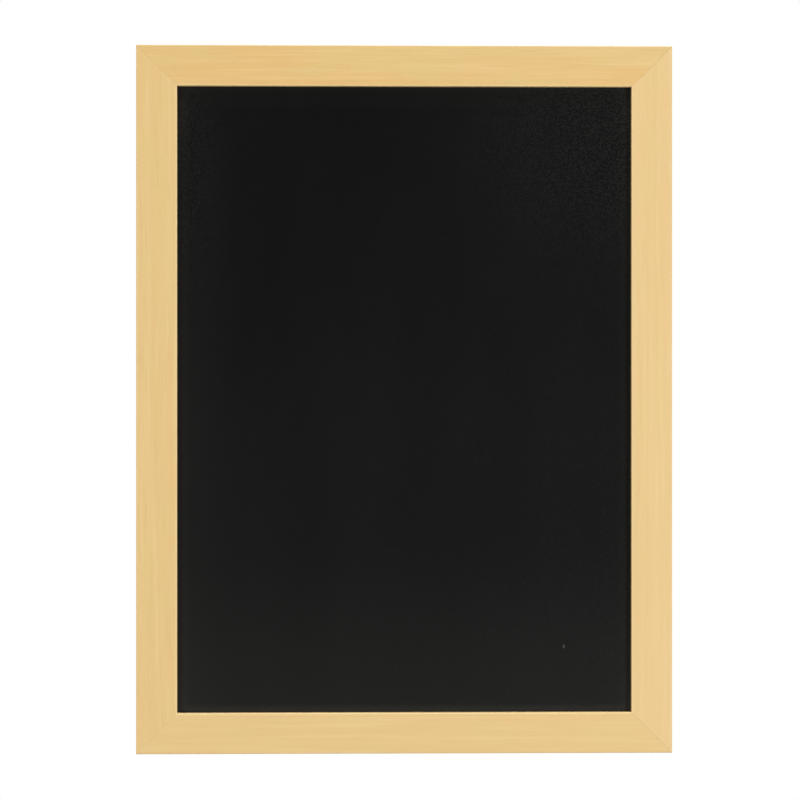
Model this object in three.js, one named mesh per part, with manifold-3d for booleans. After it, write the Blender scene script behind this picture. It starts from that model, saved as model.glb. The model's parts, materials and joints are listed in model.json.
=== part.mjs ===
// A framed chalkboard for the wall: a black writing panel in a mitred wooden frame, hung by
// two hinged rings on its back.
// Millimetres, +Z up, and the writing side faces -Y. The origin is midway between the two
// rings, in the plane of the frame's back, at the height where the wall hooks bear.

import * as THREE from "three";
import { mergeVertices } from "three/addons/utils/BufferGeometryUtils.js";
import Module from "manifold-3d";

const wasm = await Module();
wasm.setup();

// Frame moulding
const FRAME_WIDTH = 303;
const FRAME_HEIGHT = 400;
const FRAME_DEPTH = 13;
const FACE_WIDTH = 23;
const RABBET_WIDTH = 6;
const LIP_THICKNESS = 4;
const OUTER_ARRIS_RADIUS = 1;
const SIGHT_ARRIS_RADIUS = 0.6;
const BACK_CHAMFER = 0.5;
const MITRE_GAP = 0.3;

// Writing panel
const PANEL_THICKNESS = 3;
const PANEL_EDGE_PLAY = 1;
const SEAT_GAP = 0.3; // between any two pieces that rest on each other

// Flat steel points that keep the panel in the rabbet
const POINT_LENGTH = 15;
const POINT_WIDTH = 5.5;
const POINT_THICKNESS = 0.5;
const POINT_BITE = 6;
const POINT_TIP_LENGTH = 2.5;
const POINT_HOLE_RADIUS = 0.8;
const POINT_FROM_SIGHT_CORNER = 50;
const POINTS_PER_STILE = 3;
const POINTS_PER_RAIL = 2;
const KERF_PLAY = 0.3; // between driven steel and the wood that it sits in

// V-shaped nails that pin each mitre from behind
const NAIL_HEIGHT = 7;
const NAIL_LEG = 5;
const NAIL_THICKNESS = 0.5;
const NAIL_HALF_ANGLE = THREE.MathUtils.degToRad(42);
const NAIL_CURL = 0.9;
const NAIL_SINK = 0.3;
const NAIL_PITCH = 8;
const NAILS_PER_CORNER = 2;

// Hanger: a folded strap, a D-shaped ring in its eye, and one screw
const HOOKS_BELOW_TOP_EDGE = 80;
const STRAP_WIDTH = 9;
const STRAP_LENGTH = 18;
const STRAP_THICKNESS = 0.7;
const STRAP_LEAF_GAP = 0.12;
const SCREW_FROM_EYE = 12;
const EYE_PLAY = 0.15;
const WIRE_RADIUS = 0.9;
const RING_BEND_RADIUS = 1.6;
const RING_SIDE_PLAY = 0.5;
const RING_ARM_LENGTH = 3;
const RING_BUTT_GAP = 0.4;
const WIRE_SIDES = 10;
const RING_STEPS = 56;

// Pan-head wood screw
const SCREW_RADIUS = 1.5;
const SCREW_TIP_LENGTH = 3;
const SCREW_COVER = 3.5; // wood left in front of the tip
const SCREW_HEAD_RADIUS = 3;
const SCREW_HEAD_HEIGHT = 2.1;
const SCREW_HEAD_RIM = 0.6;
const SCREW_HOLE_PLAY = 0.3; // between the screw and the strap's hole
const RECESS_WIDTH = 0.9;
const RECESS_LENGTH = 3.2;
const RECESS_DEPTH = 1.2;

// Rubber bumper that keeps the bottom edge off the wall, level with the hangers
const BUMPER_RADIUS = 5;
const BUMPER_HEIGHT = 3.8;
const BUMPER_FLAT_RADIUS = 2.4;
const BUMPER_FROM_SIDE = 34;

const ARC_SEGMENTS = 6;
const ROUND_SEGMENTS = 24;
const OVERCUT = 1; // how far a cutting tool runs out past the face that it enters

const landWidth = FACE_WIDTH - RABBET_WIDTH;
const frontY = -FRAME_DEPTH;
const lipBackY = frontY + LIP_THICKNESS;
const topZ = HOOKS_BELOW_TOP_EDGE;
const bottomZ = topZ - FRAME_HEIGHT;
const middleZ = (topZ + bottomZ) / 2;

// Materials
const wood = new THREE.MeshStandardMaterial({ color: 0xe6c689, roughness: 0.55, metalness: 0 });
const slate = new THREE.MeshStandardMaterial({ color: 0x1a1b1a, roughness: 0.6, metalness: 0 });
const zinc = new THREE.MeshStandardMaterial({ color: 0xb9bcbe, roughness: 0.35, metalness: 1 });
const nickel = new THREE.MeshStandardMaterial({ color: 0xc9c6bd, roughness: 0.25, metalness: 1 });
const rubber = new THREE.MeshStandardMaterial({ color: 0x2a2a2b, roughness: 0.8, metalness: 0 });

// Solid modelling

function solidOf(geometry, matrix = new THREE.Matrix4()) {
  const bare = geometry.clone().applyMatrix4(matrix);
  bare.deleteAttribute("normal");
  bare.deleteAttribute("uv");
  const merged = mergeVertices(bare, 1e-4);
  return new wasm.Manifold(
    new wasm.Mesh({
      numProp: 3,
      vertProperties: merged.getAttribute("position").array,
      triVerts: new Uint32Array(merged.getIndex().array),
    }),
  );
}

function geometryOf(solid) {
  const { vertProperties, triVerts } = solid.getMesh();
  const geometry = new THREE.BufferGeometry();
  geometry.setAttribute("position", new THREE.BufferAttribute(vertProperties, 3));
  geometry.setIndex(new THREE.BufferAttribute(triVerts, 1));
  geometry.computeVertexNormals();
  return geometry;
}

// Takes the tools out of the mesh, wherever each stands in the scene.
function carve(mesh, tools) {
  const toMesh = mesh.matrixWorld.clone().invert();
  let solid = solidOf(mesh.geometry);
  for (const tool of tools) {
    const inMesh = toMesh.clone().multiply(tool.matrixWorld);
    solid = solid.subtract(solidOf(tool.geometry, inMesh));
  }
  mesh.geometry = geometryOf(solid);
}

function addMesh(parent, name, geometry, material) {
  const mesh = new THREE.Mesh(geometry, material);
  mesh.name = name;
  parent.add(mesh);
  return mesh;
}

// A flat shape extruded along +Y, from y = 0, with its own x and y laid along X and Z.
function plate(shape, thickness) {
  const geometry = new THREE.ExtrudeGeometry(shape, {
    depth: thickness,
    bevelEnabled: false,
    curveSegments: ARC_SEGMENTS,
  });
  return geometry.rotateX(Math.PI / 2).translate(0, thickness, 0);
}

// Frame moulding: length along X, inward along +Z from the outer edge, back face at y = 0.

function mouldingProfile() {
  const profile = new THREE.Shape();
  profile.moveTo(BACK_CHAMFER, 0);
  profile.lineTo(0, -BACK_CHAMFER);
  profile.lineTo(0, frontY + OUTER_ARRIS_RADIUS);
  profile.absarc(
    OUTER_ARRIS_RADIUS,
    frontY + OUTER_ARRIS_RADIUS,
    OUTER_ARRIS_RADIUS,
    Math.PI,
    1.5 * Math.PI,
    false,
  );
  profile.absarc(
    FACE_WIDTH - SIGHT_ARRIS_RADIUS,
    frontY + SIGHT_ARRIS_RADIUS,
    SIGHT_ARRIS_RADIUS,
    1.5 * Math.PI,
    2 * Math.PI,
    false,
  );
  profile.lineTo(FACE_WIDTH, lipBackY);
  profile.lineTo(landWidth, lipBackY);
  profile.lineTo(landWidth, 0);
  profile.closePath();
  return profile;
}

function mitredMoulding(length) {
  const geometry = new THREE.ExtrudeGeometry(mouldingProfile(), {
    depth: length,
    bevelEnabled: false,
    curveSegments: ARC_SEGMENTS,
  });
  geometry.translate(0, 0, -length / 2).rotateY(-Math.PI / 2);
  const position = geometry.getAttribute("position");
  for (let i = 0; i < position.count; i++) {
    const inward = position.getZ(i);
    const end = length / 2 - inward - MITRE_GAP / Math.SQRT2;
    position.setX(i, Math.sign(position.getX(i)) * end);
  }
  return geometry;
}

// Panel point: lies in the plane of the panel, its length along +Z, z = 0 at the rabbet wall.

function pointShape() {
  const half = POINT_WIDTH / 2;
  const reach = POINT_LENGTH - POINT_BITE;
  const shape = new THREE.Shape();
  shape.moveTo(0, -POINT_BITE);
  shape.lineTo(half, POINT_TIP_LENGTH - POINT_BITE);
  shape.lineTo(half, reach - half);
  shape.absarc(0, reach - half, half, 0, Math.PI, false);
  shape.lineTo(-half, POINT_TIP_LENGTH - POINT_BITE);
  shape.closePath();
  const hole = new THREE.Path();
  hole.absarc(0, reach - half, POINT_HOLE_RADIUS, 0, 2 * Math.PI, true);
  shape.holes.push(hole);
  return shape;
}

function pointKerf() {
  const width = POINT_WIDTH + 2 * KERF_PLAY;
  const depth = POINT_BITE + KERF_PLAY;
  const thickness = POINT_THICKNESS + 2 * KERF_PLAY;
  const kerf = new THREE.BoxGeometry(width, thickness, depth + OVERCUT);
  return kerf.translate(0, POINT_THICKNESS / 2, (OVERCUT - depth) / 2);
}

// V-nail: apex at the origin and pointing along +Z, legs open towards -Z, standing along Y.
// grow makes it thicker all round, for the slot that it fills.

function nailShape(grow) {
  const half = NAIL_THICKNESS / 2 + grow;
  const legX = Math.sin(NAIL_HALF_ANGLE);
  const legZ = -Math.cos(NAIL_HALF_ANGLE);
  const bend = new THREE.Vector2(legX, legZ).multiplyScalar(NAIL_LEG - NAIL_CURL);
  const tip = bend.clone().add(new THREE.Vector2(NAIL_CURL + grow, 0));
  const apexReach = half / Math.sin(NAIL_HALF_ANGLE);
  const bendShift = half * Math.tan((Math.PI / 2 - NAIL_HALF_ANGLE) / 2);
  const outside = [
    new THREE.Vector2(0, apexReach),
    new THREE.Vector2(bend.x + bendShift, bend.y + half),
    new THREE.Vector2(tip.x, tip.y + half),
  ];
  const inside = [
    new THREE.Vector2(tip.x, tip.y - half),
    new THREE.Vector2(bend.x - bendShift, bend.y - half),
    new THREE.Vector2(0, -apexReach),
  ];
  const right = [...outside, ...inside];
  const left = right
    .slice(1, -1)
    .reverse()
    .map((p) => new THREE.Vector2(-p.x, p.y));
  return new THREE.Shape([...right, ...left]);
}

function nailGeometry() {
  return plate(nailShape(0), NAIL_HEIGHT).translate(0, -NAIL_SINK - NAIL_HEIGHT, 0);
}

function nailSlot() {
  const depth = NAIL_SINK + NAIL_HEIGHT + KERF_PLAY;
  return plate(nailShape(KERF_PLAY), depth + OVERCUT).translate(0, -depth, 0);
}

// Strap: a strip folded round the eye, which lies along X at the origin. The leaves run
// along -Z, and the lower leaf's underside is one eye radius below the eye's axis.

const eyeInnerRadius = WIRE_RADIUS + EYE_PLAY;
const eyeOuterRadius = eyeInnerRadius + STRAP_THICKNESS;
const strapStack = 2 * STRAP_THICKNESS + STRAP_LEAF_GAP;
const eyeY = SEAT_GAP + eyeOuterRadius;
const screwSeatY = SEAT_GAP + strapStack;

function strapProfile() {
  const under = -eyeOuterRadius;
  const slitLow = under + STRAP_THICKNESS;
  const slitHigh = slitLow + STRAP_LEAF_GAP;
  const top = under + strapStack;
  const profile = new THREE.Shape();
  profile.moveTo(-STRAP_LENGTH, under);
  profile.absarc(0, 0, eyeOuterRadius, -Math.PI / 2, Math.PI - Math.asin(top / eyeOuterRadius), false);
  profile.lineTo(-STRAP_LENGTH, top);
  profile.lineTo(-STRAP_LENGTH, slitHigh);
  profile.absarc(0, 0, eyeInnerRadius, Math.PI - Math.asin(slitHigh / eyeInnerRadius), -Math.PI / 2, true);
  profile.lineTo(-STRAP_LENGTH, slitLow);
  profile.closePath();
  return profile;
}

function strapPlan() {
  const half = STRAP_WIDTH / 2;
  const plan = new THREE.Shape();
  plan.moveTo(half, eyeOuterRadius + OVERCUT);
  plan.lineTo(-half, eyeOuterRadius + OVERCUT);
  plan.absarc(0, half - STRAP_LENGTH, half, Math.PI, 2 * Math.PI, false);
  plan.closePath();
  return plan;
}

function strapGeometry() {
  const folded = new THREE.ExtrudeGeometry(strapProfile(), {
    depth: STRAP_WIDTH + 2 * OVERCUT,
    bevelEnabled: false,
    curveSegments: 2 * ARC_SEGMENTS,
  });
  folded.translate(0, 0, -STRAP_WIDTH / 2 - OVERCUT).rotateY(-Math.PI / 2);
  const height = 2 * (eyeOuterRadius + OVERCUT);
  const outline = plate(strapPlan(), height).translate(0, -height / 2, 0);
  const holeRadius = SCREW_RADIUS + SCREW_HOLE_PLAY;
  const hole = new THREE.CylinderGeometry(holeRadius, holeRadius, height, ROUND_SEGMENTS);
  hole.translate(0, 0, -SCREW_FROM_EYE);
  return geometryOf(solidOf(folded).intersect(solidOf(outline)).subtract(solidOf(hole)));
}

// Ring: bent from one length of wire, its straight bar along X at the origin and its bow
// towards +Z. The two ends meet at the middle of the bar, inside the strap's eye.

const barHalfLength = STRAP_WIDTH / 2 + RING_SIDE_PLAY + RING_BEND_RADIUS;
const crownHeight = RING_BEND_RADIUS + RING_ARM_LENGTH + barHalfLength;

function ringPath() {
  const path = new THREE.CurvePath();
  const v = (x, z) => new THREE.Vector3(x, 0, z);
  const arc = (cx, cz, radius, from, to) => {
    const curve = new THREE.Curve();
    curve.getPoint = (t, target = new THREE.Vector3()) => {
      const angle = from + (to - from) * t;
      return target.set(cx + radius * Math.cos(angle), 0, cz + radius * Math.sin(angle));
    };
    return curve;
  };
  const straightEnd = barHalfLength - RING_BEND_RADIUS;
  const armTop = RING_BEND_RADIUS + RING_ARM_LENGTH;
  path.add(new THREE.LineCurve3(v(RING_BUTT_GAP / 2, 0), v(straightEnd, 0)));
  path.add(arc(straightEnd, RING_BEND_RADIUS, RING_BEND_RADIUS, -Math.PI / 2, 0));
  path.add(new THREE.LineCurve3(v(barHalfLength, RING_BEND_RADIUS), v(barHalfLength, armTop)));
  path.add(arc(0, armTop, barHalfLength, 0, Math.PI));
  path.add(new THREE.LineCurve3(v(-barHalfLength, armTop), v(-barHalfLength, RING_BEND_RADIUS)));
  path.add(arc(-straightEnd, RING_BEND_RADIUS, RING_BEND_RADIUS, Math.PI, 1.5 * Math.PI));
  path.add(new THREE.LineCurve3(v(-straightEnd, 0), v(-RING_BUTT_GAP / 2, 0)));
  return path;
}

function ringGeometry() {
  const wire = new THREE.Shape();
  wire.absarc(0, 0, WIRE_RADIUS, 0, 2 * Math.PI, false);
  return new THREE.ExtrudeGeometry(wire, {
    steps: RING_STEPS,
    curveSegments: WIRE_SIDES,
    extrudePath: ringPath(),
  });
}

// Screw: its axis along Y, the head's underside at y = 0 and the tip towards -Y.

function screwLength() {
  return screwSeatY + FRAME_DEPTH - SCREW_COVER;
}

function screwGeometry() {
  const length = screwLength();
  const crown = SCREW_HEAD_HEIGHT - SCREW_HEAD_RIM;
  const profile = new THREE.Path();
  profile.moveTo(0, -length);
  profile.lineTo(SCREW_RADIUS, SCREW_TIP_LENGTH - length);
  profile.lineTo(SCREW_RADIUS, 0);
  profile.lineTo(SCREW_HEAD_RADIUS, 0);
  profile.lineTo(SCREW_HEAD_RADIUS, SCREW_HEAD_RIM);
  profile.absellipse(0, SCREW_HEAD_RIM, SCREW_HEAD_RADIUS, crown, 0, Math.PI / 2, false, 0);
  const body = new THREE.LatheGeometry(profile.getPoints(ARC_SEGMENTS), ROUND_SEGMENTS);
  const slot = new THREE.BoxGeometry(RECESS_LENGTH, 2 * RECESS_DEPTH, RECESS_WIDTH);
  slot.translate(0, SCREW_HEAD_HEIGHT, 0);
  const cross = slot.clone().rotateY(Math.PI / 2);
  return geometryOf(solidOf(body).subtract(solidOf(slot)).subtract(solidOf(cross)));
}

function screwPilot() {
  const radius = SCREW_RADIUS + KERF_PLAY;
  const length = screwLength() - screwSeatY + KERF_PLAY;
  const profile = new THREE.Path();
  profile.moveTo(0, -length);
  profile.lineTo(radius, SCREW_TIP_LENGTH - length);
  profile.lineTo(radius, OVERCUT);
  profile.lineTo(0, OVERCUT);
  return new THREE.LatheGeometry(profile.getPoints(), ROUND_SEGMENTS);
}

// Bumper: a dome with a flat crown, its base on the plane y = 0 and its crown towards +Y.

function bumperGeometry() {
  const profile = new THREE.Path();
  profile.moveTo(0, 0);
  profile.lineTo(BUMPER_RADIUS, 0);
  profile.absellipse(
    BUMPER_FLAT_RADIUS,
    0,
    BUMPER_RADIUS - BUMPER_FLAT_RADIUS,
    BUMPER_HEIGHT,
    0,
    Math.PI / 2,
    false,
    0,
  );
  profile.lineTo(0, BUMPER_HEIGHT);
  return new THREE.LatheGeometry(profile.getPoints(ARC_SEGMENTS), ROUND_SEGMENTS);
}

// Assembly

const chalkboard = new THREE.Group();
const rails = [];
const cuttingTools = [];

function addTool(parent, geometry) {
  const tool = new THREE.Mesh(geometry);
  parent.add(tool);
  cuttingTools.push(tool);
  return tool;
}

// Each side of the frame is a group, with X along the side and +Z inward from its outer edge.
const panelY = lipBackY + SEAT_GAP;
const pointY = panelY + PANEL_THICKNESS + SEAT_GAP;

const sides = [
  { side: "bottom", rail: "bottom_rail", length: FRAME_WIDTH, x: 0, z: bottomZ, turn: 0 },
  { side: "right", rail: "right_stile", length: FRAME_HEIGHT, x: FRAME_WIDTH / 2, z: middleZ, turn: -1 },
  { side: "top", rail: "top_rail", length: FRAME_WIDTH, x: 0, z: topZ, turn: 2 },
  { side: "left", rail: "left_stile", length: FRAME_HEIGHT, x: -FRAME_WIDTH / 2, z: middleZ, turn: 1 },
];

for (const { side, rail, length, x, z, turn } of sides) {
  const group = new THREE.Group();
  group.position.set(x, 0, z);
  group.rotation.y = (turn * Math.PI) / 2;
  chalkboard.add(group);
  rails.push(addMesh(group, rail, mitredMoulding(length), wood));

  const count = length === FRAME_HEIGHT ? POINTS_PER_STILE : POINTS_PER_RAIL;
  const firstX = FACE_WIDTH + POINT_FROM_SIGHT_CORNER - length / 2;
  for (let i = 0; i < count; i++) {
    const place = new THREE.Group();
    place.position.set(firstX + (i * -2 * firstX) / (count - 1), pointY, landWidth);
    group.add(place);
    addMesh(place, `panel_point_${side}_${i + 1}`, plate(pointShape(), POINT_THICKNESS), zinc);
    addTool(place, pointKerf());
  }
}

// The panel rests on the bottom rabbet, so its play is all above it.
const panelWidth = FRAME_WIDTH - 2 * (landWidth + PANEL_EDGE_PLAY);
const panelHeight = FRAME_HEIGHT - 2 * (landWidth + PANEL_EDGE_PLAY);
const panel = addMesh(
  chalkboard,
  "writing_panel",
  new THREE.BoxGeometry(panelWidth, PANEL_THICKNESS, panelHeight),
  slate,
);
panel.position.set(0, panelY + PANEL_THICKNESS / 2, middleZ - PANEL_EDGE_PLAY + SEAT_GAP);

// Mitre pins, in a row centred along each diagonal of the back, every apex towards the opening.
const nailReach = NAIL_LEG * Math.cos(NAIL_HALF_ANGLE);
const nailRow = (NAILS_PER_CORNER - 1) * NAIL_PITCH;
const firstNailZ = (landWidth * Math.SQRT2 - nailRow + nailReach) / 2;
for (const [across, right] of [["left", -1], ["right", 1]]) {
  for (const [upDown, up] of [["bottom", -1], ["top", 1]]) {
    const corner = new THREE.Group();
    corner.position.set((right * FRAME_WIDTH) / 2, 0, up > 0 ? topZ : bottomZ);
    corner.rotation.y = Math.atan2(-right, -up);
    chalkboard.add(corner);
    for (let i = 0; i < NAILS_PER_CORNER; i++) {
      const place = new THREE.Group();
      place.position.z = firstNailZ + i * NAIL_PITCH;
      corner.add(place);
      addMesh(place, `v_nail_${upDown}_${across}_${i + 1}`, nailGeometry(), zinc);
      addTool(place, nailSlot());
    }
  }
}

// Hangers, centred on the stiles' backs: at rest the ring stands up, as on its hook, and leans
// on the frame's back.
const ringLean = Math.asin((eyeY - WIRE_RADIUS - SEAT_GAP) / crownHeight);
const eyeZ = WIRE_RADIUS - crownHeight * Math.cos(ringLean);

for (const [side, right] of [["left", -1], ["right", 1]]) {
  const hanger = new THREE.Group();
  hanger.position.set((right * (FRAME_WIDTH - landWidth)) / 2, 0, eyeZ);
  chalkboard.add(hanger);
  const strap = addMesh(hanger, `hanger_strap_${side}`, strapGeometry(), zinc);
  strap.position.y = eyeY;
  const ring = addMesh(hanger, `hanging_ring_${side}`, ringGeometry(), nickel);
  ring.position.y = eyeY;
  ring.rotation.x = ringLean;
  const screw = addMesh(hanger, `hanger_screw_${side}`, screwGeometry(), zinc);
  screw.position.set(0, screwSeatY + SEAT_GAP, -SCREW_FROM_EYE);
  const pilot = addTool(hanger, screwPilot());
  pilot.position.set(0, 0, -SCREW_FROM_EYE);

  const bumper = addMesh(chalkboard, `wall_bumper_${side}`, bumperGeometry(), rubber);
  bumper.position.set(
    right * (FRAME_WIDTH / 2 - BUMPER_FROM_SIDE),
    SEAT_GAP,
    bottomZ + landWidth / 2,
  );
}

chalkboard.updateMatrixWorld(true);
for (const rail of rails) carve(rail, cuttingTools);
for (const tool of cuttingTools) tool.removeFromParent();

export default chalkboard;
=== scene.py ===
import json
import math

import bmesh
import bpy
from mathutils import Matrix, Vector


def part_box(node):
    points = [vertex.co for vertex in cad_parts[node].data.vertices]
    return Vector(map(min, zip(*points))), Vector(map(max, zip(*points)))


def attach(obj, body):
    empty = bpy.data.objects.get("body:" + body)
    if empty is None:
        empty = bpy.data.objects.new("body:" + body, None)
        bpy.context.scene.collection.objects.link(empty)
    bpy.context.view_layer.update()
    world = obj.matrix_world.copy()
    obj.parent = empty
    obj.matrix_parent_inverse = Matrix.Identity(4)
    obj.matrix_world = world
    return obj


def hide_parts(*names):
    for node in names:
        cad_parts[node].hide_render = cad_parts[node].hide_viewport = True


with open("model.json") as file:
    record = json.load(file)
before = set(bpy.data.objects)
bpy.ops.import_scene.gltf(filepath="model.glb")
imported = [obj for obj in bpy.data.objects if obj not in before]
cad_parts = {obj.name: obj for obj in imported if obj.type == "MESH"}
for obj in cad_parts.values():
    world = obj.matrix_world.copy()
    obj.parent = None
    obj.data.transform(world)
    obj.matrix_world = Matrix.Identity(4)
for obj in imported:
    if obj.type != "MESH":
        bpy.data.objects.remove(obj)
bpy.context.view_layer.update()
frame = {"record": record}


# Camera
# The board was photographed from about a metre and a half, a little from its left, and its
# middle lies just right of the picture's. The focal length follows from the board's size.

VIEW_DISTANCE = 1.5
VIEW_FROM_LEFT = math.radians(1.285)
IMAGE_PIXELS = 800
PIXELS_PER_METRE = 1770.2
BOARD_MIDDLE_PIXEL = Vector((404.74, 399.53))
SENSOR_MM = 36

left_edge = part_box("left_stile")[0].x
right_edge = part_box("right_stile")[1].x
bottom_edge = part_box("bottom_rail")[0].z
top_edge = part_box("top_rail")[1].z
face_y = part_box("top_rail")[0].y
board_middle = Vector(((left_edge + right_edge) / 2, face_y, (bottom_edge + top_edge) / 2))

lens = bpy.data.cameras.new("studio_camera")
lens.sensor_width = SENSOR_MM
lens.lens = SENSOR_MM * PIXELS_PER_METRE * VIEW_DISTANCE / IMAGE_PIXELS
camera = bpy.data.objects.new("studio_camera", lens)
bpy.context.scene.collection.objects.link(camera)
off_centre = (BOARD_MIDDLE_PIXEL - Vector((IMAGE_PIXELS, IMAGE_PIXELS)) / 2) / PIXELS_PER_METRE
sight_line = Vector((math.sin(VIEW_FROM_LEFT), math.cos(VIEW_FROM_LEFT), 0))
sideways = Vector((sight_line.y, -sight_line.x, 0))
camera.location = board_middle - sight_line * VIEW_DISTANCE - sideways * off_centre.x
camera.location.z += off_centre.y
camera.rotation_euler = (math.pi / 2, 0, -VIEW_FROM_LEFT)
bpy.context.scene.camera = camera


# Studio
# The board hangs over a plain pale floor, between two large soft boxes that stand left and right
# of the camera, a third one above, and a fourth behind it. The room is dim around the camera, so
# that the black panel has little to mirror, bright at both sides, and half bright at the back.

FLOOR_DROP = 0.12
FLOOR_HALF_WIDTH = 1.1
FLOOR_NEAR = -0.55
FLOOR_FAR = 0.55
FLOOR_COLOUR = (0.8, 0.79, 0.77, 1)
FLOOR_ROUGHNESS = 0.9
ROOM_DIM = 0.06
ROOM_BRIGHT = 0.9
ROOM_BEHIND = 0.4
DIM_FROM = 0.25
DIM_TO = 0.8
SIDES_START = -0.3
SIDES_FULL = 0.1
SHARP_ANGLE = math.radians(35)


class Shade:
    """One output of a shader node. Arithmetic on it adds the Math nodes that it needs."""

    def __init__(self, tree, socket=None):
        self.tree = tree
        self.socket = socket

    def node(self, kind, settings=None, inputs=None, output=0):
        """Adds a node: its settings first, then the values or links of its sockets."""
        made = self.tree.nodes.new(kind)
        for name, value in (settings or {}).items():
            setattr(made, name, value)
        for key, value in (inputs or {}).items():
            if isinstance(value, Shade):
                self.tree.links.new(value.socket, made.inputs[key])
            else:
                made.inputs[key].default_value = value
        return Shade(self.tree, made.outputs[output] if made.outputs else None)

    def math(self, operation, *values):
        inputs = dict(enumerate(values))
        return self.node("ShaderNodeMath", {"operation": operation}, inputs)

    def __add__(self, other):
        return self.math("ADD", self, other)

    __radd__ = __add__

    def __sub__(self, other):
        return self.math("SUBTRACT", self, other)

    def __rsub__(self, other):
        return self.math("SUBTRACT", other, self)

    def __mul__(self, other):
        return self.math("MULTIPLY", self, other)

    __rmul__ = __mul__

    def away_from(self, middle):
        """How far this value lies from the middle, to either side."""
        return self.math("ABSOLUTE", self - middle)

    def step(self, low, high):
        """0 below low, 1 above high, and smooth in between. high may be the lower one."""
        settings = {"interpolation_type": "SMOOTHSTEP"}
        return self.node("ShaderNodeMapRange", settings, {"Value": self, 1: low, 2: high})

    def blend(self, first, second):
        """The first colour where this is 0, and the second where it is 1."""
        settings = {"data_type": "RGBA"}
        return self.node("ShaderNodeMix", settings, {0: self, 6: first, 7: second}, output=2)

    def noise(self, scale, detail=2.0, roughness=0.5):
        inputs = {"Vector": self, "Scale": scale, "Detail": detail, "Roughness": roughness}
        return self.node("ShaderNodeTexNoise", None, inputs)

    def mapped(self, location=(0, 0, 0), rotation=(0, 0, 0), scale=(1, 1, 1)):
        inputs = {"Vector": self, "Location": location, "Rotation": rotation, "Scale": scale}
        return self.node("ShaderNodeMapping", None, inputs)

    def axis(self, index):
        return self.node("ShaderNodeSeparateXYZ", None, {0: self}, output=index)


def new_material(name):
    """A material, its main shader node, and the object's own coordinates in metres."""
    material = bpy.data.materials.new(name)
    material.use_nodes = True
    tree = material.node_tree
    place = Shade(tree).node("ShaderNodeTexCoord", output=3)
    return material, tree.nodes["Principled BSDF"], place


def feed(shader, **values):
    """Sets or links the shader's sockets. An underscore stands for a space in a name."""
    for name, value in values.items():
        socket = shader.inputs[name.replace("_", " ")]
        if isinstance(value, Shade):
            value.tree.links.new(value.socket, socket)
        else:
            socket.default_value = value


def bumped(height, distance):
    """The surface normal, raised by height times distance, in metres."""
    return height.node("ShaderNodeBump", None, {"Height": height, "Distance": distance})


def new_piece(bm, name, materials):
    """Turns the bmesh into an object at the origin, smooth except at its sharp edges."""
    bmesh.ops.recalc_face_normals(bm, faces=bm.faces)
    mesh = bpy.data.meshes.new(name)
    bm.to_mesh(mesh)
    bm.free()
    for material in materials:
        mesh.materials.append(material)
    mesh.shade_smooth()
    mesh.set_sharp_from_angle(angle=SHARP_ANGLE)
    piece = bpy.data.objects.new(name, mesh)
    bpy.context.scene.collection.objects.link(piece)
    return piece


def soft_box(name, place, target, size, watts):
    light = bpy.data.lights.new(name, "AREA")
    light.shape = "RECTANGLE"
    light.size, light.size_y = size
    light.energy = watts
    holder = bpy.data.objects.new(name, light)
    holder.location = place
    holder.rotation_euler = (target - Vector(place)).to_track_quat("-Z", "Y").to_euler()
    holder.visible_camera = False
    bpy.context.scene.collection.objects.link(holder)


bm = bmesh.new()
bmesh.ops.create_grid(bm, x_segments=1, y_segments=1, size=1)
bmesh.ops.scale(bm, vec=(FLOOR_HALF_WIDTH, (FLOOR_FAR - FLOOR_NEAR) / 2, 1), verts=bm.verts)
floor_middle = Vector((board_middle.x, (FLOOR_FAR + FLOOR_NEAR) / 2, bottom_edge - FLOOR_DROP))
bmesh.ops.translate(bm, vec=floor_middle, verts=bm.verts)
floor_paint, shader, place = new_material("floor_paint")
feed(shader, Base_Color=FLOOR_COLOUR, Roughness=FLOOR_ROUGHNESS)
seen_from_below = place.node("ShaderNodeNewGeometry", output="Backfacing")
glass = place.node("ShaderNodeBsdfTransparent")
paint = Shade(floor_paint.node_tree, shader.outputs["BSDF"])
either = place.node("ShaderNodeMixShader", None, {0: seen_from_below, 1: paint, 2: glass})
output = floor_paint.node_tree.nodes["Material Output"]
floor_paint.node_tree.links.new(either.socket, output.inputs["Surface"])
floor = new_piece(bm, "floor", [floor_paint])

bpy.context.scene.view_settings.view_transform = "Standard"
world = bpy.data.worlds.new("studio_room")
world.use_nodes = True
bpy.context.scene.world = world
sky = world.node_tree.nodes["Background"]
towards = Shade(world.node_tree).node("ShaderNodeTexCoord")
facing = towards.axis(1)
side_wall = facing.step(-DIM_TO, -DIM_FROM) * facing.step(DIM_FROM, 0)
above_floor = towards.axis(2).step(SIDES_START, SIDES_FULL)
behind_board = facing.step(0, DIM_FROM) * ROOM_BEHIND
room = side_wall * above_floor * (ROOM_BRIGHT - ROOM_DIM) + behind_board + ROOM_DIM
to_camera = towards.node("ShaderNodeLightPath")
backdrop = to_camera + room * (1 - to_camera)
world.node_tree.links.new(backdrop.socket, sky.inputs["Strength"])
sky.inputs["Color"].default_value = (1, 1, 1, 1)

soft_box(
    "soft_box_left",
    place=(-1.2, -1.2, -0.56),
    target=board_middle,
    size=(0.8, 1.0),
    watts=13.8,
)
soft_box(
    "soft_box_right",
    place=(1.2, -1.2, -0.46),
    target=board_middle,
    size=(0.8, 1.0),
    watts=17.8,
)
soft_box(
    "soft_box_above",
    place=(0.1, -0.75, 1.7),
    target=board_middle,
    size=(2.0, 0.6),
    watts=26,
)
soft_box(
    "soft_box_behind",
    place=(-0.9, 1.3, 0.9),
    target=Vector((0, 0, -0.12)),
    size=(1.0, 1.0),
    watts=20,
)


# Frame members
# Four lengths of one fibreboard moulding, wrapped in printed wood-grain foil round the face,
# the lip and a short lap on the back, then cut at 45 degrees and butted. The back stays raw.

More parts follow.
